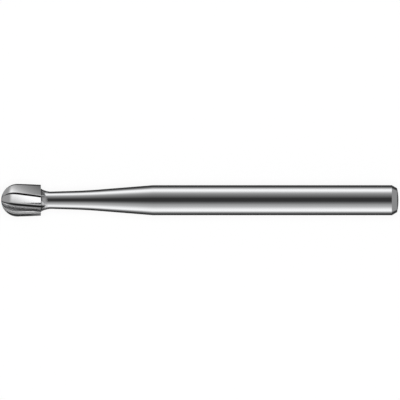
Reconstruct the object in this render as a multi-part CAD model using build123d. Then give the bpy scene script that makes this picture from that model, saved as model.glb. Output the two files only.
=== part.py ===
from build123d import *
import os
from math import acos, atan2, cos, degrees, hypot, pi, radians, sin, sqrt

# A round-nosed carbide burr with six helical blades, on a plain straight shank.
# Millimetres. The burr lies along X on its shank: tip at -X, shank at +X, +Z up.
# The origin is on the axis, in the plane where the cylindrical shank begins.

# Steel shank: the cylinder that the collet grips, and its bevelled, slightly domed end
shank_diameter = 1.60
shank_length = 13.08
end_bevel_length = 0.28
end_bevel_depth = 0.16
end_dome_height = 0.07
end_round_radius = 0.10

# Steel neck: a slim waist behind the head, blended into a longer and steeper taper up to the shank
neck_taper_length = 3.55
neck_diameter = 1.03
neck_blend_length = 0.75
waist_taper_length = 1.84
waist_diameter = 0.92

# Flare: the concave sweep from the waist to the back of the head, steel first and carbide after the joint
flare_radius = 0.88
flare_foot_length = 0.21
collar_length = 0.36

# Carbide head: a ball nose on a body that narrows a little towards its back
nose_diameter = 1.74
head_length = 2.11
head_back_diameter = 1.69

# Blades: the flutes between them, with sizes taken where the head is widest
blade_count = 6
helix_lead = 40.0
blade_angle_at_back = 16.8
core_diameter = 1.05
gullet_radius = 0.19
land_width = 0.10
land_relief_angle = 23.0
back_hollow = 0.014
rake_angle = 4.5

# Flute run-out: past the tip, past the back of the head and outside the blades
tip_overrun = 0.02
back_overrun = 0.30
cutter_overrun = 0.26

# Sections that guide each flute: by their angle round the nose, and by their number along the side
nose_section_angles = range(10, 89, 13)
side_section_count = 4

# Planes of the burr, along the axis from the origin
waist_x = -(neck_taper_length + waist_taper_length)
joint_x = waist_x - flare_foot_length
head_back_x = joint_x - collar_length
tip_x = head_back_x - head_length
nose_radius = nose_diameter / 2
nose_centre_x = tip_x + nose_radius


def waist_slope():
    """Angle of the waist's taper, in radians."""
    return atan2((neck_diameter - waist_diameter) / 2, waist_taper_length)


def flare_point(x):
    """Point of the flare's arc, which leaves the waist without a kink and opens towards the head."""
    centre_x = waist_x - flare_radius * sin(waist_slope())
    centre_r = waist_diameter / 2 + flare_radius * cos(waist_slope())
    return (x, centre_r - sqrt(flare_radius**2 - (x - centre_x) ** 2))


def flare_arc(x_from, x_to):
    """The part of the flare between two planes, as one arc."""
    return ThreePointArc(flare_point(x_from), flare_point((x_from + x_to) / 2), flare_point(x_to))


def nose_tangent_angle():
    """Angle round the nose, from the tip, at which the straight side of the head leaves it."""
    back_run = head_back_x - nose_centre_x
    back_radius = head_back_diameter / 2
    reach = hypot(back_run, back_radius)
    return pi - atan2(back_radius, back_run) - acos(nose_radius / reach)


def nose_point(angle):
    """Point of the nose's arc at an angle from the tip."""
    return (nose_centre_x - nose_radius * cos(angle), nose_radius * sin(angle))


def head_radius(x):
    """Radius of the blades' envelope along the straight side of the head."""
    start_x, start_radius = nose_point(nose_tangent_angle())
    share = (x - start_x) / (head_back_x - start_x)
    return start_radius + share * (head_back_diameter / 2 - start_radius)


def head_blank():
    """The head before its flutes are ground: nose, body, back face and collar."""
    end_angle = nose_tangent_angle()
    tip = (tip_x, 0)
    back_corner = (head_back_x, head_back_diameter / 2)
    joint_centre = (joint_x, 0)
    outline = [
        ThreePointArc(tip, nose_point(end_angle / 2), nose_point(end_angle)),
        Line(nose_point(end_angle), back_corner),
        Line(back_corner, flare_point(head_back_x)),
        flare_arc(head_back_x, joint_x),
        Line(flare_point(joint_x), joint_centre),
        Line(joint_centre, tip),
    ]
    return revolve(make_face(Wire(outline)), Axis.X)


def flute_section(scale):
    """Outline of one flute in a plane across the burr, for a head of nose size times scale.

    The first axis runs out through the cutting edge of the blade ahead and the second
    points the way that the edge cuts. The flute lies behind that blade.
    """
    pitch_angle = 2 * pi / blade_count
    rake = radians(rake_angle)
    core_radius = core_diameter / 2
    edge = Vector(nose_radius, 0)
    land_direction = Vector(0, -1).rotate(Axis.Z, -land_relief_angle)
    land_end = edge + land_direction * land_width
    next_edge = Vector(cos(pitch_angle), -sin(pitch_angle)) * nose_radius

    # The rake face runs inwards from the next edge, and the gullet's circle touches it and the core
    inwards = Vector(-1, 0).rotate(Axis.Z, degrees(rake - pitch_angle))
    across = Vector(0, 1).rotate(Axis.Z, degrees(rake - pitch_angle))
    start = next_edge + across * gullet_radius
    along = -start.dot(inwards)
    centre_reach = core_radius + gullet_radius
    depth = along - sqrt(along**2 - start.dot(start) + centre_reach**2)
    centre = start + inwards * depth
    rake_foot = next_edge + inwards * depth

    # The back of the blade ahead runs from its land into the same circle, a little hollow like its wheel
    to_land = land_end - centre
    tangent_angle = acos(gullet_radius / to_land.length)
    towards_foot = to_land.normalized().rotate(Axis.Z, degrees(tangent_angle))
    back_foot = centre + towards_foot * gullet_radius
    gullet_floor = centre - centre.normalized() * gullet_radius

    back_direction = (land_end - back_foot).normalized()
    land_outside = edge - land_direction * cutter_overrun
    back_middle = (land_end + back_foot) / 2 - back_direction.rotate(Axis.Z, -90) * back_hollow
    rake_outside = next_edge - inwards * cutter_overrun
    corner = Vector(nose_radius + 2 * cutter_overrun, 0).rotate(Axis.Z, -degrees(pitch_angle) / 2)
    outline = Wire([
        Line(land_outside, land_end),
        ThreePointArc(land_end, back_middle, back_foot),
        ThreePointArc(back_foot, gullet_floor, rake_foot),
        Line(rake_foot, rake_outside),
        Line(rake_outside, corner),
        Line(corner, land_outside),
    ])
    return make_face(outline.scale(scale))


def blade_plane(x):
    """Plane across the burr whose first axis passes through a cutting edge."""
    angle = radians(blade_angle_at_back + 360 * (head_back_x - x) / helix_lead)
    return Plane(origin=(x, 0, 0), x_dir=(0, sin(angle), cos(angle)), z_dir=(-1, 0, 0))


def flute_cutter():
    """The space that one pass of the grinding wheel clears, from past the tip to the collar."""
    sections = []
    for angle in nose_section_angles:
        x = nose_centre_x - (nose_radius + tip_overrun) * cos(radians(angle))
        sections.append(blade_plane(x) * flute_section(sin(radians(angle))))
    side_length = head_back_x + back_overrun - nose_centre_x
    for index in range(1, side_section_count + 1):
        x = nose_centre_x + side_length * index / side_section_count
        sections.append(blade_plane(x) * flute_section(head_radius(x) / nose_radius))
    return loft(sections)


def carbide_head():
    cutter = flute_cutter()
    flutes = [Rot(X=360 * index / blade_count) * cutter for index in range(blade_count)]
    return head_blank() - flutes


def end_dome_arc(rim, tip):
    """The shallow dome on the shank's end, from its rim to its tip on the axis."""
    dome_radius = (rim[1] ** 2 + end_dome_height**2) / (2 * end_dome_height)
    half_angle = atan2(rim[1], dome_radius - end_dome_height) / 2
    middle = (tip[0] - dome_radius * (1 - cos(half_angle)), dome_radius * sin(half_angle))
    return ThreePointArc(rim, middle, tip)


def neck_blend(waist, knee, shank_start):
    """The waist's taper, the neck's steeper one and the arc that joins them where they would meet."""
    blend_start = knee + (waist - knee).normalized() * neck_blend_length
    blend_end = knee + (shank_start - knee).normalized() * neck_blend_length
    return [
        Line(waist, blend_start),
        TangentArc(blend_start, blend_end, tangent=knee - waist),
        Line(blend_end, shank_start),
    ]


def steel_shank():
    waist = Vector(waist_x, waist_diameter / 2)
    knee = Vector(-neck_taper_length, neck_diameter / 2)
    shank_start = Vector(0, shank_diameter / 2)
    bevel_end = (shank_length - end_dome_height, shank_diameter / 2 - end_bevel_depth)
    bevel_start = (bevel_end[0] - end_bevel_length, shank_diameter / 2)
    end_tip = (shank_length, 0)
    joint_centre = (joint_x, 0)
    outline = [
        flare_arc(joint_x, waist_x),
        *neck_blend(waist, knee, shank_start),
        Line(shank_start, bevel_start),
        Line(bevel_start, bevel_end),
        end_dome_arc(bevel_end, end_tip),
        Line(end_tip, joint_centre),
        Line(joint_centre, flare_point(joint_x)),
    ]
    profile = make_face(Wire(outline))
    bevel_corner = profile.vertices().sort_by_distance(bevel_end)[0]
    return revolve(fillet(bevel_corner, end_round_radius), Axis.X)


PARTS = {"carbide_head": carbide_head, "steel_shank": steel_shank}

os.makedirs("parts", exist_ok=True)
for name, make in PARTS.items():
    export_step(make(), f"parts/{name}.step")
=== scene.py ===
# %% [markdown]
# A carbide burr, from its fixed frame to its finished looks. The burr is a tiny cutting tool: a fluted
# head of tungsten carbide on a polished steel shank. Its solids are already made at their real size, and
# this lesson dresses them. The first step loads that frame, and nothing later moves or resizes it.

# %% Load the frame
import math

import bpy
import numpy as np
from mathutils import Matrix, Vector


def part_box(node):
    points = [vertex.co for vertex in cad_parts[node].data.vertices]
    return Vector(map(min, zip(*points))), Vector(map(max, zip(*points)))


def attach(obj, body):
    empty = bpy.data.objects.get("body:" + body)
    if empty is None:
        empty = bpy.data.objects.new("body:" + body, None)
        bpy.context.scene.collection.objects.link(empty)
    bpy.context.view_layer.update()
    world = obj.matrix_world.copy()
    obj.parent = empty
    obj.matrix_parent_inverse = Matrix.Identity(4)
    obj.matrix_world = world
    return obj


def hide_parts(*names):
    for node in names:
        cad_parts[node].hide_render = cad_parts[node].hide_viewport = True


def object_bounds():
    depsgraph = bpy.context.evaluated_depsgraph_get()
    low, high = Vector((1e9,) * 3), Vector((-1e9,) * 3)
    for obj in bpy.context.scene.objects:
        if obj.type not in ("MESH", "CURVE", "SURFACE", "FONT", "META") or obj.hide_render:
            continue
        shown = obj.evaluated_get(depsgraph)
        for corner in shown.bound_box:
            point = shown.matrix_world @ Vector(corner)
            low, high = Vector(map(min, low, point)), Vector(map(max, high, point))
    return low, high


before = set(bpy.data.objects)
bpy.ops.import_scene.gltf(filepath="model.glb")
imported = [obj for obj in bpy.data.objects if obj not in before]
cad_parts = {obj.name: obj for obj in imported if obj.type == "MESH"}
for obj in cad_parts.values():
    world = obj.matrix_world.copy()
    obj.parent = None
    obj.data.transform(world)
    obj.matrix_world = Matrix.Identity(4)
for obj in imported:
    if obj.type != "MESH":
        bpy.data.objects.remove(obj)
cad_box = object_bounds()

MM = 0.001
head_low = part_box("carbide_head")[0]
shank_low, shank_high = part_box("steel_shank")
print("nodes:", sorted(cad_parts), "length in mm:", round((shank_high.x - head_low.x) / MM, 2))

# %% [markdown]
# The camera comes first, because every later choice is judged through it. The photograph looks straight
# down on the lying burr with no perspective that can be seen. A far camera with a long lens would do, but
# an orthographic one has no distance to guess. Its width is set by the shank: 1.6 mm of steel is about
# 30 pixels across, and the picture is 400 wide.

# %% Camera
PICTURE_PIXELS = 400
SHANK_PIXELS = 30.05
AXIS_ROW = 200.23
SHANK_START_COLUMN = 152.75
CAMERA_HEIGHT = 60 * MM

shank_radius = shank_high.y
pixel = 2 * shank_radius / SHANK_PIXELS
middle = PICTURE_PIXELS / 2

camera_data = bpy.data.cameras.new("camera")
camera_data.type = "ORTHO"
camera_data.ortho_scale = PICTURE_PIXELS * pixel
camera_data.clip_start = 1 * MM
camera_data.clip_end = 1000 * MM
camera = bpy.data.objects.new("camera", camera_data)
camera.location = ((middle - SHANK_START_COLUMN) * pixel, (AXIS_ROW - middle) * pixel, CAMERA_HEIGHT)
bpy.context.collection.objects.link(camera)
bpy.context.scene.camera = camera
bpy.context.scene.view_settings.view_transform = "Standard"
print("one pixel is", round(pixel / MM, 5), "mm, centre at", [round(c / MM, 3) for c in camera.location])

# %% [markdown]
# Both pieces and both finishes are made with node trees. Wiring each node by hand would fill the lesson,
# so four small helpers keep the later cells short: one adds a node and fills its inputs, one does a sum,
# and two start and end a Geometry Nodes tree in the same way each time.

# %% Helpers for node trees
def add(tree, kind, inputs=None, **settings):
    """Adds a node, sets its properties, and fills its input sockets by number or name."""
    node = tree.nodes.new(kind)
    for name, value in settings.items():
        setattr(node, name, value)
    for key, value in (inputs or {}).items():
        if isinstance(value, bpy.types.NodeSocket):
            tree.links.new(value, node.inputs[key])
        else:
            node.inputs[key].default_value = value
    return node


def maths(tree, operation, *values, clamp=False):
    """One Math node, with numbers or sockets for its inputs. Returns its output."""
    node = add(tree, "ShaderNodeMath", dict(enumerate(values)), operation=operation, use_clamp=clamp)
    return node.outputs[0]


def new_tree(name, inputs):
    """A Geometry Nodes tree with one geometry in and out, and named inputs for its sizes."""
    tree = bpy.data.node_groups.new(name, "GeometryNodeTree")
    tree.interface.new_socket("Geometry", in_out="INPUT", socket_type="NodeSocketGeometry")
    for label, kind in inputs:
        tree.interface.new_socket(label, in_out="INPUT", socket_type=kind)
    tree.interface.new_socket("Geometry", in_out="OUTPUT", socket_type="NodeSocketGeometry")
    return tree, add(tree, "NodeGroupInput")


def finish_tree(tree, geometry, material):
    """Ends a tree the same way each time: real geometry, closed seams, crisp corners, one material."""
    realized = add(tree, "GeometryNodeRealizeInstances", {0: geometry})
    merged = add(tree, "GeometryNodeMergeByDistance", {0: realized.outputs[0], "Distance": SEAM_GAP})
    bend = add(tree, "GeometryNodeInputMeshEdgeAngle")
    is_corner = add(tree, "FunctionNodeCompare", {0: bend.outputs["Unsigned Angle"], 1: CORNER_ANGLE})
    smooth = add(tree, "GeometryNodeSetShadeSmooth", {0: merged.outputs[0]})
    creased = add(tree, "GeometryNodeStoreNamedAttribute",
                  {"Geometry": smooth.outputs[0], "Name": "sharp_edge", "Value": is_corner.outputs[0]},
                  data_type="BOOLEAN", domain="EDGE")
    painted = add(tree, "GeometryNodeSetMaterial", {0: creased.outputs[0], "Material": material})
    add(tree, "NodeGroupOutput", {0: painted.outputs[0]})


SEAM_GAP = 0.00002 * MM
CORNER_ANGLE = math.radians(24)
print("helpers ready: corners are creased above", round(math.degrees(CORNER_ANGLE)), "degrees")

# %% [markdown]
# A tree is only a recipe. The modifier could stay on the piece, but the export drops instances and wants
# plain meshes. So the next helper gives the tree a mesh to work on, sets its named inputs by their
# identifiers, evaluates it once, and keeps the result at the origin with no modifier left.

# %% Turn a tree into a plain mesh
def baked_piece(name, start_mesh, tree, values):
    """Runs a tree once on a mesh and keeps what it made, as a plain mesh in a new object."""
    starter = bpy.data.objects.new(name + "_start", start_mesh)
    bpy.context.collection.objects.link(starter)
    modifier = starter.modifiers.new("shape", "NODES")
    modifier.node_group = tree
    for item in tree.interface.items_tree:
        if item.item_type == "SOCKET" and item.in_out == "INPUT" and item.name in values:
            modifier[item.identifier] = values[item.name]
    starter.update_tag()
    evaluated = starter.evaluated_get(bpy.context.evaluated_depsgraph_get())
    mesh = bpy.data.meshes.new_from_object(evaluated)
    mesh.name = name
    bpy.data.objects.remove(starter)
    piece = bpy.data.objects.new(name, mesh)
    bpy.context.collection.objects.link(piece)
    return piece


def volume(mesh):
    """Volume of a closed mesh in cubic millimetres. It is positive when the faces look outwards."""
    mesh.calc_loop_triangles()
    places = np.array([v.co for v in mesh.vertices]) / MM
    corners = places[[list(t.vertices) for t in mesh.loop_triangles]]
    return float(np.einsum("ij,ij->", corners[:, 0], np.cross(corners[:, 1], corners[:, 2])) / 6)


print("baking helper ready")

# %% [markdown]
# The steel of the shank is ground between wheels and then polished. Such steel is a clean mirror along
# its length, with very fine rings round it from the wheel, a few faint handling marks and a slightly
# uneven polish. A photograph of steel could be wrapped round it, but it would bring its own lights
# along. Here noise makes the bump and the roughness of one neutral metal colour, and the studio does
# the rest.

# %% Helpers for metals
NOISE_SPREAD = (0.3, 0.7)
BUMP_DEPTH = 0.002 * MM


def metal_material(name, colour):
    """A metal of one colour, ready for its own roughness and bump."""
    material = bpy.data.materials.new(name)
    material.use_nodes = True
    tree = material.node_tree
    shader = tree.nodes["Principled BSDF"]
    shader.inputs["Base Color"].default_value = (*colour, 1)
    shader.inputs["Metallic"].default_value = 1.0
    return material, tree, shader


def stretched_noise(tree, coordinates, waves, detail=3.0):
    """Noise with its own number of waves per millimetre along each axis."""
    scaled = add(tree, "ShaderNodeMapping", {0: coordinates, 3: [w / MM for w in waves]})
    noise = add(tree, "ShaderNodeTexNoise", {"Vector": scaled.outputs[0], "Scale": 1.0, "Detail": detail})
    return noise.outputs["Fac"]


def remap(tree, value, low, high):
    """Stretches the middle of a noise to run from low to high."""
    return add(tree, "ShaderNodeMapRange",
               {0: value, 1: NOISE_SPREAD[0], 2: NOISE_SPREAD[1], 3: low, 4: high}).outputs[0]


def bumped(tree, shader, height, strength):
    """Gives a shader a bump, at a share of its full depth."""
    bump = add(tree, "ShaderNodeBump",
               {"Height": height, "Strength": strength, "Distance": BUMP_DEPTH})
    tree.links.new(bump.outputs[0], shader.inputs["Normal"])


print("noise is read between", NOISE_SPREAD, "and bumps are", round(BUMP_DEPTH / MM, 4), "mm deep")

# %% Polished steel
STEEL_COLOUR = (0.73, 0.735, 0.745)
RING_WAVES = (24, 0.6, 0.6)
SMUDGE_WAVES = (0.35, 0.9, 0.9)
RING_BUMP = 0.12
POLISH = (0.06, 0.11)

steel, tree, shader = metal_material("polished_steel", STEEL_COLOUR)
place = add(tree, "ShaderNodeTexCoord").outputs["Object"]
rings = stretched_noise(tree, place, RING_WAVES, detail=4.0)
smudges = stretched_noise(tree, place, SMUDGE_WAVES)
tree.links.new(remap(tree, smudges, *POLISH), shader.inputs["Roughness"])
bumped(tree, shader, rings, RING_BUMP)
print("steel:", len(tree.nodes), "nodes, roughness", POLISH)

# %% [markdown]
# The shank is a turned piece: the flare's foot at the joint, the slim waist, the taper up to full size,
# the long cylinder, and the bevelled and domed end. Cylinders and cones could be stacked, but they would
# leave rings of joins on a mirror. One outline swept round the axis has none, so its sizes come next.

# %% Sizes of the shank and neck
joint_x = shank_low.x
end_x = shank_high.x
NECK_TAPER = 3.55 * MM
NECK_RADIUS = 0.515 * MM
NECK_BLEND = 0.75 * MM
WAIST_TAPER = 1.84 * MM
WAIST_RADIUS = 0.46 * MM
FLARE_RADIUS = 0.88 * MM
BEVEL_LENGTH = 0.28 * MM
BEVEL_DEPTH = 0.16 * MM
DOME_HEIGHT = 0.07 * MM
END_ROUND = 0.10 * MM
ROUND_HALF_TURN = math.radians(24)

waist = np.array([-NECK_TAPER - WAIST_TAPER, WAIST_RADIUS])
knee = np.array([-NECK_TAPER, NECK_RADIUS])
shank_start = np.array([0.0, shank_radius])
waist_slope = math.atan2(NECK_RADIUS - WAIST_RADIUS, WAIST_TAPER)
flare_centre = waist + FLARE_RADIUS * np.array([-math.sin(waist_slope), math.cos(waist_slope)])


def flare_radius_at(x):
    """Radius of the flare's arc at a place along the axis."""
    return flare_centre[1] - math.sqrt(FLARE_RADIUS**2 - (x - flare_centre[0]) ** 2)


joint_radius = flare_radius_at(joint_x)
print("joint at", round(joint_x / MM, 3), "mm, flare radius there", round(joint_radius / MM, 3), "mm")

# %% [markdown]
# The outline could have a point at each corner only and be smoothed afterwards by a modifier, but that
# would pull it off its sizes. Here each arc is worked out, so every point lies on the true curve, and
# straight stretches are cut into even steps, so that no face is a long sliver.

# %% Helpers for an outline
def straight(start, end, count):
    """Points from start up to, and without, end."""
    return [start + (end - start) * i / count for i in range(count)]


def tangent_arc(start, corner, end, count):
    """Arc from start to end that touches the lines from each of them to the corner."""
    start_run = (corner - start) / np.linalg.norm(corner - start)
    end_run = (end - corner) / np.linalg.norm(end - corner)
    turn = math.acos(float(np.clip(start_run @ end_run, -1, 1)))
    side = math.copysign(1.0, start_run[0] * end_run[1] - start_run[1] * end_run[0])
    normal = side * np.array([-start_run[1], start_run[0]])
    radius = np.linalg.norm(corner - start) / math.tan(turn / 2)
    centre = start + radius * normal
    angles = [turn * i / count for i in range(count)]
    return [centre - radius * (normal * math.cos(a) - start_run * math.sin(a)) for a in angles]


def dome_point(share):
    """Point of the shallow end dome, from its rim at 0 to the axis at 1."""
    dome_radius = (bevel_end[1] ** 2 + DOME_HEIGHT**2) / (2 * DOME_HEIGHT)
    angle = math.asin(bevel_end[1] / dome_radius) * (1 - share)
    return np.array([end_x - dome_radius * (1 - math.cos(angle)), dome_radius * math.sin(angle)])


bevel_end = np.array([end_x - DOME_HEIGHT, shank_radius - BEVEL_DEPTH])
bevel_start = np.array([bevel_end[0] - BEVEL_LENGTH, shank_radius])
print("bevel from", (bevel_start / MM).round(3), "to", (bevel_end / MM).round(3), "mm")

# %% Outline of the shank
FLARE_STEPS = 8
WAIST_STEPS = 10
BLEND_STEPS = 16
NECK_STEPS = 24
SHANK_STEPS = 60
BEVEL_STEPS = 8
ROUND_STEPS = 10
DOME_STEPS = 15

bevel_run = (bevel_start - bevel_end) / np.linalg.norm(bevel_start - bevel_end)
round_reach = END_ROUND * math.tan(ROUND_HALF_TURN)
round_start = bevel_end + bevel_run * round_reach
round_share = round_reach / bevel_end[1]
round_end = dome_point(round_share)
blend_start = knee + (waist - knee) * NECK_BLEND / np.linalg.norm(waist - knee)
blend_end = knee + (shank_start - knee) * NECK_BLEND / np.linalg.norm(shank_start - knee)

outline = [np.array([joint_x, 0.0])]
outline += [np.array([x, flare_radius_at(x)])
            for x in np.linspace(joint_x, waist[0], FLARE_STEPS + 1)[:-1]]
outline += straight(waist, blend_start, WAIST_STEPS)
outline += tangent_arc(blend_start, knee, blend_end, BLEND_STEPS)
outline += straight(blend_end, shank_start, NECK_STEPS)
outline += straight(shank_start, bevel_start, SHANK_STEPS)
outline += straight(bevel_start, round_start, BEVEL_STEPS)
outline += tangent_arc(round_start, bevel_end, round_end, ROUND_STEPS)
outline += [dome_point(s) for s in np.linspace(round_share, 1, DOME_STEPS + 1)]
print("outline points:", len(outline))

# %% [markdown]
# A tree now sweeps that outline round the axis. A Screw modifier could do it too, but a tree can close
# the seam and crease the corners in the same pass. It makes a flat grid with one row for each point of
# the outline, reads that point for each row, and turns it about X by the column's share of a circle.
# Merging what coincides then closes the seam and both ends on the axis. The turn goes backwards, so that
# the faces look outwards, and the volume that is printed comes out positive.

# %% Tree that turns an outline
def turning_tree():
    """Turns an outline round the X axis into a closed piece."""
    tree, given = new_tree("turned_piece",
                           [("Around", "NodeSocketInt"), ("Material", "NodeSocketMaterial")])
    size = add(tree, "GeometryNodeAttributeDomainSize", {0: given.outputs["Geometry"]})
    columns = maths(tree, "ADD", given.outputs["Around"], 1)
    grid = add(tree, "GeometryNodeMeshGrid",
               {"Vertices X": size.outputs["Point Count"], "Vertices Y": columns})
    number = add(tree, "GeometryNodeInputIndex").outputs[0]
    row = maths(tree, "FLOOR", maths(tree, "DIVIDE", maths(tree, "ADD", number, 0.5), columns))
    column = maths(tree, "SUBTRACT", number, maths(tree, "MULTIPLY", row, columns))
    share = maths(tree, "DIVIDE", column, given.outputs["Around"])
    angle = maths(tree, "MULTIPLY", share, -2 * math.pi)
    position = add(tree, "GeometryNodeInputPosition").outputs[0]
    point = add(tree, "GeometryNodeSampleIndex",
                {"Geometry": given.outputs["Geometry"], "Value": position, "Index": row},
                data_type="FLOAT_VECTOR", domain="POINT")
    turned = add(tree, "ShaderNodeVectorRotate", {"Vector": point.outputs[0], "Angle": angle},
                 rotation_type="X_AXIS")
    moved = add(tree, "GeometryNodeSetPosition", {0: grid.outputs["Mesh"], "Position": turned.outputs[0]})
    finish_tree(tree, moved.outputs[0], given.outputs["Material"])
    return tree


print("turning tree ready")

# %% Shank
COLUMNS_ROUND = 192


def chain_mesh(name, points):
    """A chain of edges through points given as (place along the axis, distance from it)."""
    mesh = bpy.data.meshes.new(name)
    corners = [(float(x), float(r), 0.0) for x, r in points]
    mesh.from_pydata(corners, [(i, i + 1) for i in range(len(corners) - 1)], [])
    return mesh


shank = baked_piece("polished_shank", chain_mesh("shank_outline", outline), turning_tree(),
                    {"Around": COLUMNS_ROUND, "Material": steel})
print("shank:", len(shank.data.polygons), "faces, volume", round(volume(shank.data), 3), "mm3")

# %% [markdown]
# The head is ground from solid carbide, one flute at a time. In a plane across the head, each blade has
# a narrow land that falls away from its edge, then a slightly hollow back, a round gullet, and the raked
# face of the next blade. Flutes could be cut out of a blank with Booleans, but those leave ragged rims
# on edges this fine. Here one flute is drawn at the widest place, and every other section is a smaller
# one.

# %% Sizes of the head
BLADES = 6
NOSE_RADIUS = 0.87 * MM
BACK_RADIUS = 0.845 * MM
COLLAR_LENGTH = 0.36 * MM
HELIX_LEAD = 40 * MM
BACK_ANGLE = math.radians(16.8)
CORE_RADIUS = 0.525 * MM
GULLET_RADIUS = 0.19 * MM
LAND_WIDTH = 0.10 * MM
LAND_RELIEF = math.radians(23)
BACK_HOLLOW = 0.009 * MM
RAKE = math.radians(4.5)
EDGE_HONE = 0.001 * MM
TIP_OVERRUN = 0.02 * MM
CUTTER_REACH = 0.26 * MM
PITCH = 2 * math.pi / BLADES

tip_x = head_low.x
back_x = joint_x - COLLAR_LENGTH
nose_x = tip_x + NOSE_RADIUS
print("nose centre", round(nose_x / MM, 3), "mm, back of the head", round(back_x / MM, 3), "mm")

# %% [markdown]
# First come the places where the flute's parts meet. They could be read off a drawing, but then a change
# of one size would need a new drawing. The gullet is a circle of known size that touches the raked face
# and the core, so its centre can be worked out. The back then leaves that circle without a kink.

# %% Where the parts of a flute meet
def along(angle, length=1.0):
    """A step of some length, in the direction of an angle."""
    return length * np.array([math.cos(angle), math.sin(angle)])


edge = np.array([NOSE_RADIUS, 0.0])
next_edge = along(-PITCH, NOSE_RADIUS)
land_run = along(-math.pi / 2 - LAND_RELIEF)
land_end = edge + land_run * LAND_WIDTH

inwards = along(math.pi - PITCH + RAKE)
off_face = along(math.pi / 2 - PITCH + RAKE)
face_start = next_edge + off_face * GULLET_RADIUS
face_reach = -face_start @ inwards
centre_reach = CORE_RADIUS + GULLET_RADIUS
depth = face_reach - math.sqrt(face_reach**2 - face_start @ face_start + centre_reach**2)
gullet_centre = face_start + inwards * depth
rake_foot = next_edge + inwards * depth

to_land = land_end - gullet_centre
foot_angle = math.atan2(to_land[1], to_land[0]) + math.acos(GULLET_RADIUS / np.linalg.norm(to_land))
root_angle = math.atan2(-off_face[1], -off_face[0]) % (2 * math.pi)
back_foot = gullet_centre + along(foot_angle, GULLET_RADIUS)
print("gullet turns through", round(math.degrees(root_angle - foot_angle), 1), "degrees")

# %% Points along the flute
CURVE_POINTS = 160
share = np.linspace(0, 1, CURVE_POINTS)[:, None]

land_top = edge - land_run * CUTTER_REACH
land = land_top + (land_end - land_top) * share
back_run = (land_end - back_foot) / np.linalg.norm(land_end - back_foot)
into_metal = np.array([-back_run[1], back_run[0]])
hollow = into_metal * BACK_HOLLOW * 4 * share * (1 - share)
back = land_end + (back_foot - land_end) * share + hollow
sweep = np.linspace(foot_angle, root_angle, CURVE_POINTS)
gullet = gullet_centre + GULLET_RADIUS * np.column_stack([np.cos(sweep), np.sin(sweep)])
face_top = next_edge - inwards * CUTTER_REACH
face = rake_foot + (face_top - rake_foot) * share

flute = np.vstack([land, back[1:], gullet[1:-1], face])
land_corner = len(land) - 1
print("flute reaches in to", round(float(np.hypot(*flute.T).min()) / MM, 3), "mm from the axis")

# %% [markdown]
# Grinding doesn't leave the whole flute alike: the root of the raked face, where the wheel's corner works,
# is matt. The land and the gullet's floor get painted shade, a near-black colour that stands in for the
# dark reflections and the shadow there. The marks could be painted on a picture of the head, but they
# follow the section everywhere. So each point of the flute carries its share of both, and takes it along
# to every section.

# %% Painted shade and matt along the flute
# Painted shade: the land and the gullet's floor are darkened to stand in for their dark reflections and
# shadow.
LAND_PAINTED_SHADE = 0.95
GULLET_PAINTED_SHADE = ((0.18, 0.27, 0.62, 0.68), (0.0, 0.88, 0.88, 0.0))
MATT_IN_GULLET = ((0.74, 0.82), (0.0, 1.0))
MATT_ON_FACE = ((0.04, 0.10), (1.0, 0.0))

along_gullet = share[1:-1, 0]
painted_flute_shade = np.concatenate([np.full(len(land), LAND_PAINTED_SHADE), np.zeros(len(back) - 1),
                       np.interp(along_gullet, *GULLET_PAINTED_SHADE), np.zeros(len(face))])
matt = np.concatenate([np.zeros(len(land) + len(back) - 1), np.interp(along_gullet, *MATT_IN_GULLET),
                       np.interp(share[:, 0], *MATT_ON_FACE)])
flute_shade_and_matt = np.column_stack([painted_flute_shade, matt])
print("finish given to", len(flute_shade_and_matt), "points of", len(flute))

# %% [markdown]
# A section of the finished head is the flute cut into a round blank. The points of its curve could be
# used as they come, but their number would change from section to section. The helper below finds where
# the curve enters and leaves the blank, and puts the same number of points on each stretch every time.
# That gives rings that can be joined point to point, with every blade edge a clean line.

# %% One section of a blade and its flute
BLANK_POINTS = 3
LAND_POINTS = 4
FLUTE_POINTS = 50
FEWEST_INSIDE = 3


def crossing(curve, reach, inner, outer, blank_radius):
    """Point between two neighbours of the curve where it meets the blank's circle."""
    part = (blank_radius - reach[inner]) / (reach[outer] - reach[inner])
    return curve[inner] + (curve[outer] - curve[inner]) * part


def section(blank_radius, scale):
    """Angles, radii, painted shade and matt round one pitch, or None where the blank can't hold a flute.
    """
    curve = flute * scale
    reach = np.hypot(*curve.T)
    inside = np.flatnonzero(reach < blank_radius)
    if len(inside) < FEWEST_INSIDE:
        return None
    first, last = inside[0], inside[-1]
    cut = np.vstack([crossing(curve, reach, first, first - 1, blank_radius), curve[first:last + 1],
                     crossing(curve, reach, last, last + 1, blank_radius)])
    run = np.concatenate([[0], np.cumsum(np.hypot(*np.diff(cut, axis=0).T))])
    has_land = first <= land_corner
    land_length = run[land_corner - first + 1] if has_land else run[-1] * LAND_POINTS / FLUTE_POINTS
    spread = np.concatenate([np.linspace(0, land_length, LAND_POINTS + 1)[:-1],
                             np.linspace(land_length, run[-1], FLUTE_POINTS - LAND_POINTS)])
    shade_and_matt = flute_shade_and_matt[[first, *range(first, last + 1), last]]
    shade_and_matt = np.column_stack([np.interp(spread, run, column) for column in shade_and_matt.T])
    cut = np.column_stack([np.interp(spread, run, column) for column in cut.T])
    flute_angles = np.arctan2(cut[:, 1], cut[:, 0])
    blank_angles = np.linspace(flute_angles[-1] + PITCH, flute_angles[0], BLANK_POINTS + 1)[:-1]
    angles = np.concatenate([blank_angles, flute_angles])
    radii = np.concatenate([np.full(BLANK_POINTS, blank_radius), np.hypot(*cut.T)])
    return angles, radii, np.vstack([np.zeros((BLANK_POINTS, 2)), shade_and_matt])


print("points in a section of one blade:", BLANK_POINTS + FLUTE_POINTS)

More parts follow.
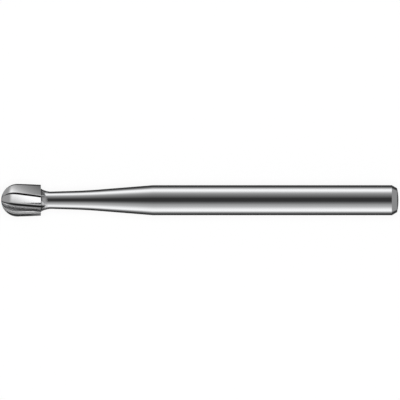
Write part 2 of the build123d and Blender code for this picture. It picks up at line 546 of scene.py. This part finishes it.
# %% [markdown]
# The stations run from the tip over the ball nose, down the slightly tapered side, across the flat back
# and along the flared collar to the joint. At each one the blank's radius and the flute's size are
# known, so one blade is a sheet of rings. Stations could be spaced evenly, but the nose turns too fast
# for that, so its own are spaced by angle. Flutes are made a touch long at the tip, which leaves the
# small web that holds the blades together there.

# %% Stations along the head
NOSE_STATIONS = 60
SIDE_STATIONS = 36
COLLAR_STATIONS = 26
BACK_STEP = 0.004 * MM

back_reach = back_x - nose_x
tangent = math.acos(NOSE_RADIUS / math.hypot(back_reach, BACK_RADIUS))
nose_end = math.pi - math.atan2(BACK_RADIUS, back_reach) - tangent
side_start = np.array([nose_x - NOSE_RADIUS * math.cos(nose_end), NOSE_RADIUS * math.sin(nose_end)])


def side_radius(x):
    """Radius of the blades along the side, which narrows a little to the back."""
    part = (x - side_start[0]) / (back_x - side_start[0])
    return side_start[1] + part * (BACK_RADIUS - side_start[1])


def flute_scale(x):
    """Size of the flute at a place along the head, as a share of its size at the widest place."""
    if x < nose_x:
        return math.sqrt(max(0.0, 1 - ((nose_x - x) / (NOSE_RADIUS + TIP_OVERRUN)) ** 2))
    return side_radius(x) / NOSE_RADIUS


stations = [(nose_x - NOSE_RADIUS * math.cos(a), NOSE_RADIUS * math.sin(a))
            for a in np.linspace(0, nose_end, NOSE_STATIONS + 1)[1:]]
stations += [(x, side_radius(x)) for x in np.linspace(side_start[0], back_x, SIDE_STATIONS + 1)[1:]]
stations += [(x, flare_radius_at(x)) for x in np.linspace(back_x + BACK_STEP, joint_x, COLLAR_STATIONS)]
print("stations along the head:", len(stations))

# %% [markdown]
# Now one blade is built from its sections, each turned a little further to follow the helix. It could be
# lofted from curves, but a plain sheet keeps every point's painted shade, matt share and a map of its own.
# The map runs along the head one way and along the section the other, in millimetres, so that the grinding
# lines can sweep with the flute.

# %% Rows of one blade
def blade_rows():
    """Rows of (place, angles, radii, painted shade and matt), with the flute's angles carried on past its
    ends.
    """
    rows = [(x, section(radius - EDGE_HONE, flute_scale(x)), radius) for x, radius in stations]
    cut = [i for i, row in enumerate(rows) if row[1] is not None]
    finished = []
    for i, (x, found, radius) in enumerate(rows):
        nearest = rows[min(cut, key=lambda c: abs(c - i))][1]
        full_round = (nearest[0], np.full(BLANK_POINTS + FLUTE_POINTS, radius), nearest[2])
        finished.append((x, *(found or full_round)))
    on_axis = np.zeros(BLANK_POINTS + FLUTE_POINTS)
    first, last = finished[0], finished[-1]
    return [(tip_x, first[1], on_axis, first[3])] + finished + [(joint_x, last[1], on_axis, last[3])]


rows = blade_rows()
print("rows of one blade, with both ends on the axis:", len(rows))

# %% One blade
GROUND_BELOW = 0.9995


def blade_mesh():
    """One blade and its flute, as a sheet with both ends closed on the axis."""
    points, marks, ground, shades_and_matts = [], [], [], []
    travelled = 0.0
    previous = np.array([tip_x, 0.0])
    columns = BLANK_POINTS + FLUTE_POINTS
    for x, angles, radii, shade_and_matt in rows:
        travelled += math.hypot(x - previous[0], radii[0] - previous[1])
        previous = np.array([x, radii[0]])
        turned = angles + BACK_ANGLE + 2 * math.pi * (back_x - x) / HELIX_LEAD
        ring = np.column_stack([np.full(columns, x), radii * np.sin(turned), radii * np.cos(turned)])
        steps = np.linalg.norm(np.diff(ring, axis=0), axis=1)
        points += ring.tolist()
        marks += [(travelled / MM, run / MM) for run in np.concatenate([[0], np.cumsum(steps)])]
        ground += [float(radius < radii[0] * GROUND_BELOW) for radius in radii]
        shades_and_matts += shade_and_matt.tolist()
    faces = [(r * columns + c, r * columns + c + 1, (r + 1) * columns + c + 1, (r + 1) * columns + c)
             for r in range(len(rows) - 1) for c in range(columns - 1)]
    mesh = bpy.data.meshes.new("blade")
    mesh.from_pydata(points, [], faces)
    grind = mesh.uv_layers.new(name="grind")
    for loop in mesh.loops:
        grind.data[loop.index].uv = marks[loop.vertex_index]
    # The flute's painted shade goes along as a point attribute, beside the matt share.
    with_painted_flute_shade, with_matt = zip(*shades_and_matts)
    for name, values in (("fluted", ground), ("painted_flute_shade", with_painted_flute_shade), ("matt", with_matt)):
        mesh.attributes.new(name, "FLOAT", "POINT").data.foreach_set("value", values)
    return mesh


blade = blade_mesh()
print("one blade:", len(blade.vertices), "points,", len(blade.polygons), "faces")

# %% [markdown]
# Ground tungsten carbide is greyer than steel and a little less smooth. The wheel leaves fine lines along
# each flute, and the blank keeps the finer rings of its own grinding on the lands and the collar. Object
# coordinates would draw straight lines through the blades. So the flutes' lines follow the blade's own
# map, sweep with the helix, and differ from blade to blade.

# %% Grinding marks of the carbide
BARE_CARBIDE = (0.86, 0.862, 0.87)
FLUTE_WAVES = (1.2, 38, 1)
BLANK_WAVES = (30, 1.5, 1.5)
GRAIN_WAVES = (45, 45, 45)
GRAIN_SHARE = 0.35
GRIND_BUMP = 0.25
BLADE_SHIFT = 7.3

carbide, tree, shader = metal_material("ground_carbide", BARE_CARBIDE)


def own_value(tree, name):
    """The value that each point of the head, or each blade, carries under a name."""
    return add(tree, "ShaderNodeAttribute", attribute_name=name).outputs["Fac"]


in_flute = own_value(tree, "fluted")
grind_map = add(tree, "ShaderNodeUVMap", uv_map="grind").outputs[0]
apart = maths(tree, "MULTIPLY", own_value(tree, "blade"), BLADE_SHIFT)
shift = add(tree, "ShaderNodeCombineXYZ", {2: apart}).outputs[0]
blade_place = add(tree, "ShaderNodeVectorMath", {0: grind_map, 1: shift}, operation="ADD")
flute_place = add(tree, "ShaderNodeMapping", {0: blade_place.outputs[0], 3: FLUTE_WAVES}).outputs[0]
flute_lines = add(tree, "ShaderNodeTexNoise",
                  {"Vector": flute_place, "Scale": 1.0, "Detail": 3.0}).outputs["Fac"]
place = add(tree, "ShaderNodeTexCoord").outputs["Object"]
blank_rings = stretched_noise(tree, place, BLANK_WAVES, detail=3.0)
grain = stretched_noise(tree, place, GRAIN_WAVES, detail=2.0)
height = add(tree, "ShaderNodeMix", {0: in_flute, 2: blank_rings, 3: flute_lines}).outputs[0]
height = maths(tree, "ADD", height, maths(tree, "MULTIPLY", grain, GRAIN_SHARE))
bumped(tree, shader, height, GRIND_BUMP)
print("marks:", len(tree.nodes), "nodes")

# %% [markdown]
# The colour is bare carbide wherever nothing lies on it, a little paler where it is matt, and nearly
# black where painted shade lies on the land and the gullet's floor. A band of painted shade also runs
# round the corner behind the head, standing in for the dark reflection there. It fades along the collar,
# but stays in the ends of the flutes, where it hides their highlights. The two painted shades could be two
# paints, one over the other. Here each is a share from 0 to 1 and the larger one wins, so they never add
# up to a darker patch.

# %% Painted shade and roughness of the carbide
MATT_CARBIDE = (0.96, 0.96, 0.965)
PAINTED_SHADE_COLOUR = (0.07, 0.07, 0.072)
# Painted shade: a dark band just behind the head, where the corner reflects dark, and dark flute ends on
# the collar.
BACK_CORNER_PAINTED_SHADE_BAND = (back_x + 0.002 * MM, back_x + 0.05 * MM, back_x + 0.10 * MM)
BACK_CORNER_PAINTED_SHADE_DARKNESS = 0.8
RUN_OUT_PAINTED_SHADE = 0.75
FLUTE_ROUGHNESS = (0.10, 0.19)
BLANK_ROUGHNESS = (0.24, 0.34)
MATT_ROUGHNESS = 0.85

along_axis = add(tree, "ShaderNodeSeparateXYZ", {0: place}).outputs["X"]
band_start = maths(tree, "GREATER_THAN", along_axis, BACK_CORNER_PAINTED_SHADE_BAND[0])
band_fade = add(tree, "ShaderNodeMapRange",
                {0: along_axis, 1: BACK_CORNER_PAINTED_SHADE_BAND[1], 2: BACK_CORNER_PAINTED_SHADE_BAND[2], 3: 1.0, 4: 0.0}).outputs[0]
# The painted shade reaches into the flute run-outs on the collar too, to hide their highlights.
run_out_painted_shade = maths(tree, "MULTIPLY", in_flute, RUN_OUT_PAINTED_SHADE)
back_corner_shade_share = maths(tree, "MULTIPLY", band_start, maths(tree, "MAXIMUM", band_fade, run_out_painted_shade))
back_corner_painted_shade = maths(tree, "MULTIPLY", back_corner_shade_share, BACK_CORNER_PAINTED_SHADE_DARKNESS)
# Whichever painted shade is darker wins.
painted_shade_share = maths(tree, "MAXIMUM", own_value(tree, "painted_flute_shade"), back_corner_painted_shade)
on_matt = own_value(tree, "matt")
bare = add(tree, "ShaderNodeMix", {0: on_matt, 6: (*BARE_CARBIDE, 1), 7: (*MATT_CARBIDE, 1)},
           data_type="RGBA")
tone = add(tree, "ShaderNodeMix", {0: painted_shade_share, 6: bare.outputs[2], 7: (*PAINTED_SHADE_COLOUR, 1)}, data_type="RGBA")
tree.links.new(tone.outputs[2], shader.inputs["Base Color"])

flute_rough = remap(tree, flute_lines, *FLUTE_ROUGHNESS)
blank_rough = remap(tree, blank_rings, *BLANK_ROUGHNESS)
rough = add(tree, "ShaderNodeMix", {0: in_flute, 2: blank_rough, 3: flute_rough}).outputs[0]
rough = add(tree, "ShaderNodeMix", {0: on_matt, 2: rough, 3: MATT_ROUGHNESS}).outputs[0]
tree.links.new(rough, shader.inputs["Roughness"])
print("carbide:", len(tree.nodes), "nodes")

# %% [markdown]
# The six blades are alike, so a second tree repeats the one that was made. An Array modifier round an
# empty could do that, but it can't number its copies. The tree sets one copy on each of six points, turns
# each by its share of a circle, and gives every copy its own number, which the finish reads. Merging then
# closes the seams between neighbours and both ends on the axis.

# %% Tree that repeats the blade
def blades_tree():
    """Repeats one blade round the X axis, and gives each copy its number."""
    tree, given = new_tree("blades_round_axis",
                           [("Blades", "NodeSocketInt"), ("Material", "NodeSocketMaterial")])
    seats = add(tree, "GeometryNodePoints", {"Count": given.outputs["Blades"]})
    number = add(tree, "GeometryNodeInputIndex").outputs[0]
    angle = maths(tree, "DIVIDE", maths(tree, "MULTIPLY", number, 2 * math.pi), given.outputs["Blades"])
    turn = add(tree, "ShaderNodeCombineXYZ", {"X": angle}).outputs[0]
    copies = add(tree, "GeometryNodeInstanceOnPoints",
                 {"Points": seats.outputs[0], "Instance": given.outputs["Geometry"], "Rotation": turn})
    numbered = add(tree, "GeometryNodeStoreNamedAttribute",
                   {"Geometry": copies.outputs[0], "Name": "blade", "Value": number},
                   data_type="FLOAT", domain="INSTANCE")
    finish_tree(tree, numbered.outputs[0], given.outputs["Material"])
    return tree


head = baked_piece("ground_head", blade, blades_tree(), {"Blades": BLADES, "Material": carbide})
print("head:", len(head.data.polygons), "faces, volume", round(volume(head.data), 3), "mm3")

# %% [markdown]
# Both pieces now stand for their CAD solids. The real burr has no joint, so both ride on its one body.

# %% Tie the pieces to the frame
for piece, node, slot in ((shank, "steel_shank", "steel"), (head, "carbide_head", "carbide")):
    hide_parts(node)
    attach(piece, "root")
print("pieces:", [p.name for p in (shank, head)])

# %% [markdown]
# The burr lies on white paper. A white world alone would give the white, but no shadow. So the paper is a
# real floor: seen by the camera, or in metal, it is mostly its own even white, and the rest of it is lit,
# which keeps the soft shadow under the burr.

# %% Helpers for the studio
def stage_piece(name, mesh, material):
    """A piece of the studio, which belongs to the picture and not to the burr."""
    piece = bpy.data.objects.new(name, mesh)
    piece.data.materials.append(material)
    bpy.context.collection.objects.link(piece)
    return piece


def disc_mesh(name, radius, corners=96):
    """A flat disc, as one face with many corners."""
    mesh = bpy.data.meshes.new(name)
    turns = [2 * math.pi * i / corners for i in range(corners)]
    rim = [(radius * math.cos(a), radius * math.sin(a), 0) for a in turns]
    mesh.from_pydata(rim, [], [range(corners)])
    return mesh


def emission_material(name):
    """An empty material, with its tree and its output, for a surface that glows."""
    material = bpy.data.materials.new(name)
    material.use_nodes = True
    tree = material.node_tree
    tree.nodes.clear()
    output = add(tree, "ShaderNodeOutputMaterial")
    return material, tree, output


def seen_directly(tree):
    """1 for the camera and for what shows in metal or glass, and 0 for soft light."""
    light = add(tree, "ShaderNodeLightPath").outputs
    both = maths(tree, "MAXIMUM", light["Is Camera Ray"], light["Is Glossy Ray"])
    return maths(tree, "MAXIMUM", both, light["Is Transmission Ray"])


centre_x = (head_low.x + shank_high.x) / 2
floor_z = cad_box[0].z
print("studio centred at", round(centre_x / MM, 3), "mm, floor at", round(floor_z / MM, 4), "mm")

# %% Paper
FLOOR_RADIUS = 420 * MM
PAPER_GLOW = 0.88
PAPER_WHITE = (0.9, 0.9, 0.9, 1)

paper, tree, output = emission_material("white_paper")
lit = add(tree, "ShaderNodeBsdfDiffuse", {"Color": PAPER_WHITE})
glow = add(tree, "ShaderNodeEmission", {"Color": (1, 1, 1, 1), "Strength": 1.0})
glow_share = maths(tree, "MULTIPLY", seen_directly(tree), PAPER_GLOW)
mixed = add(tree, "ShaderNodeMixShader", {0: glow_share, 1: lit.outputs[0], 2: glow.outputs[0]})
tree.links.new(mixed.outputs[0], output.inputs[0])
floor = stage_piece("paper", disc_mesh("paper", FLOOR_RADIUS), paper)
floor.location = (centre_x, 0, floor_z)
print("paper radius", round(FLOOR_RADIUS / MM), "mm")

# %% [markdown]
# Polished metal shows only what stands round it, so the studio matters more than the lamp. Lamps alone
# would give a few hard spots, and a picture of a studio would not match this burr's bands. So the burr is
# in a light tent. Straight above, where the camera looks in, the tent is open and dark, which gives the
# dark line along the middle of the shank. Its sides glow, which gives the two bright bands, and its two
# ends are a middle grey, which shows on the nose, the collar and the shank's bevel.

# %% Levels of the light tent
TENT_RADIUS = 400 * MM
END_GREY = 0.34
END_TILT = (25, 37)
TENT_PEAK = 1.35
TENT_ACROSS = ((-90, 1.32), (-78, 1.22), (-66, 1.0), (-52, 0.62), (-33, 0.40), (-22, 0.2), (-8, 0.045),
               (14, 0.04), (24, 0.11), (37, 0.225), (50, 0.35), (60, 0.56), (72, 1.08), (82, 1.28),
               (90, 1.28))
IN_DEGREES = 180 / math.pi


def smooth_step(tree, value, low, high):
    """0 below low, 1 above high, and a soft rise between them."""
    return add(tree, "ShaderNodeMapRange", {0: value, 1: low, 2: high},
               interpolation_type="SMOOTHSTEP").outputs[0]


def level_ramp(tree, place, stops_wanted, peak):
    """Grey level by a place from 0 to 1. Each stop has a place and a level, and levels may pass 1."""
    ramp = add(tree, "ShaderNodeValToRGB", {0: place})
    stops = ramp.color_ramp.elements
    while len(stops) < len(stops_wanted):
        stops.new(0.5)
    for stop, (position, level) in zip(stops, stops_wanted):
        stop.position = position
        stop.color = (level / peak,) * 3 + (1,)
    return maths(tree, "MULTIPLY", ramp.outputs[0], peak)


tent_cloth, tree, output = emission_material("tent_cloth")
place = add(tree, "ShaderNodeTexCoord").outputs["Object"]
axes = add(tree, "ShaderNodeSeparateXYZ", {0: place}).outputs
lean = maths(tree, "MULTIPLY", maths(tree, "ARCTAN2", axes["Y"], axes["Z"]), IN_DEGREES)
ramp_place = maths(tree, "DIVIDE", maths(tree, "ADD", lean, 90), 180, clamp=True)
tent_stops = [((angle + 90) / 180, level) for angle, level in TENT_ACROSS]
across_level = level_ramp(tree, ramp_place, tent_stops, TENT_PEAK)
lengthwise = maths(tree, "ABSOLUTE", maths(tree, "DIVIDE", axes["X"], TENT_RADIUS))
tilt = maths(tree, "MULTIPLY", maths(tree, "ARCSINE", lengthwise), IN_DEGREES)
end_share = smooth_step(tree, tilt, *END_TILT)
level = add(tree, "ShaderNodeMix", {0: end_share, 2: across_level, 3: END_GREY}).outputs[0]
cloth = add(tree, "ShaderNodeEmission", {"Strength": level})
tree.links.new(cloth.outputs[0], output.inputs[0])
print("panels across the tent:", len(TENT_ACROSS))

# %% Light tent
def dome_mesh(radius, rings=48, columns=96):
    """A dome that stands on the floor, wound so that it can be closed at the top."""
    mesh = bpy.data.meshes.new("tent")
    points = [(0, 0, radius)]
    for r in range(1, rings + 1):
        slope = math.pi / 2 * r / rings
        for c in range(columns):
            turn = 2 * math.pi * c / columns
            points.append((radius * math.sin(slope) * math.cos(turn),
                           radius * math.sin(slope) * math.sin(turn), radius * math.cos(slope)))
    faces = [(0, 1 + c, 1 + (c + 1) % columns) for c in range(columns)]
    for r in range(rings - 1):
        a, b = 1 + r * columns, 1 + (r + 1) * columns
        faces += [(a + c, b + c, b + (c + 1) % columns, a + (c + 1) % columns) for c in range(columns)]
    mesh.from_pydata(points, [], faces)
    return mesh


tent = stage_piece("tent", dome_mesh(TENT_RADIUS), tent_cloth)
tent.location = (centre_x, 0, floor_z)
tent.visible_camera = False
print("tent radius", round(TENT_RADIUS / MM), "mm,", len(tent.data.polygons), "faces")

# %% [markdown]
# White metal on white paper would lose its edges. A darker paper would bring them back and spoil the
# background. As photographers do, a dark card lies under the burr instead. It fades to the paper's white
# a few millimetres away, and only the metal sees it.

# %% Edge card
CARD_RADIUS = 380 * MM
CARD_LIFT = 0.002 * MM
CARD_ACROSS = ((0.0, 0.03), (2.0, 0.05), (2.6, 0.10), (3.2, 0.27), (4.6, 0.36), (6.4, 0.68), (9.0, 0.86),
               (12.0, 1.05))
CARD_ENDS = ((0.0, 0.04), (0.5, 0.08), (1.0, 0.12), (2.0, 0.25), (3.4, 0.36), (5.5, 0.34), (12.0, 0.34))
half_length = (shank_high.x - head_low.x) / 2


def card_ramp(tree, away, stops_wanted):
    """Grey level by distance, from pairs of millimetres and level."""
    reach, peak = stops_wanted[-1][0], max(level for _, level in stops_wanted)
    place = maths(tree, "DIVIDE", away, reach * MM, clamp=True)
    stops = [(distance / reach, level) for distance, level in stops_wanted]
    return level_ramp(tree, place, stops, peak)


card_face, tree, output = emission_material("edge_card")
place = add(tree, "ShaderNodeTexCoord").outputs["Object"]
axes = add(tree, "ShaderNodeSeparateXYZ", {0: place}).outputs
sideways = maths(tree, "ABSOLUTE", axes["Y"])
beyond = maths(tree, "SUBTRACT", maths(tree, "ABSOLUTE", axes["X"]), half_length)
beyond = maths(tree, "MAXIMUM", beyond, 0.0)
squares = [maths(tree, "POWER", distance, 2.0) for distance in (beyond, sideways)]
away = maths(tree, "SQRT", maths(tree, "ADD", *squares))
turn = maths(tree, "MULTIPLY", maths(tree, "ARCTAN2", beyond, sideways), IN_DEGREES)
end_share = smooth_step(tree, turn, *END_TILT)
levels = {0: end_share, 2: card_ramp(tree, away, CARD_ACROSS), 3: card_ramp(tree, away, CARD_ENDS)}
level = add(tree, "ShaderNodeMix", levels).outputs[0]
tone = add(tree, "ShaderNodeEmission", {"Strength": level})
tree.links.new(tone.outputs[0], output.inputs[0])
card = stage_piece("edge_card", disc_mesh("edge_card", CARD_RADIUS), card_face)
card.location = (centre_x, 0, floor_z + CARD_LIFT)
for ray in ("camera", "diffuse", "transmission", "shadow"):
    setattr(card, "visible_" + ray, False)
print("card stops:", len(CARD_ACROSS), "across and", len(CARD_ENDS), "beyond the ends")

# %% [markdown]
# One soft lamp lights the paper from above, at the level where a colour looks as it is written. A sun
# would do, but its shadow would be hard. The lamp is a wide disc, and the metal doesn't see it. The
# world is plain white where it shows.

# %% Lamp and world
LAMP_HEIGHT = 100 * MM
LAMP_WIDTH = 90 * MM
LAMP_WATTS = 0.1
SOFT_WORLD = 0.5

lamp_data = bpy.data.lights.new("lamp", "AREA")
lamp_data.shape = "DISK"
lamp_data.size = LAMP_WIDTH
lamp_data.energy = LAMP_WATTS
lamp = bpy.data.objects.new("lamp", lamp_data)
lamp.location = (centre_x, 0, LAMP_HEIGHT)
lamp.visible_glossy = False
bpy.context.collection.objects.link(lamp)

world = bpy.data.worlds.new("world")
bpy.context.scene.world = world
world.use_nodes = True
tree = world.node_tree
background = tree.nodes["Background"]
background.inputs["Color"].default_value = (1, 1, 1, 1)
tree.links.new(maths(tree, "MAXIMUM", seen_directly(tree), SOFT_WORLD), background.inputs["Strength"])
print("lamp energy", LAMP_WATTS, "W")
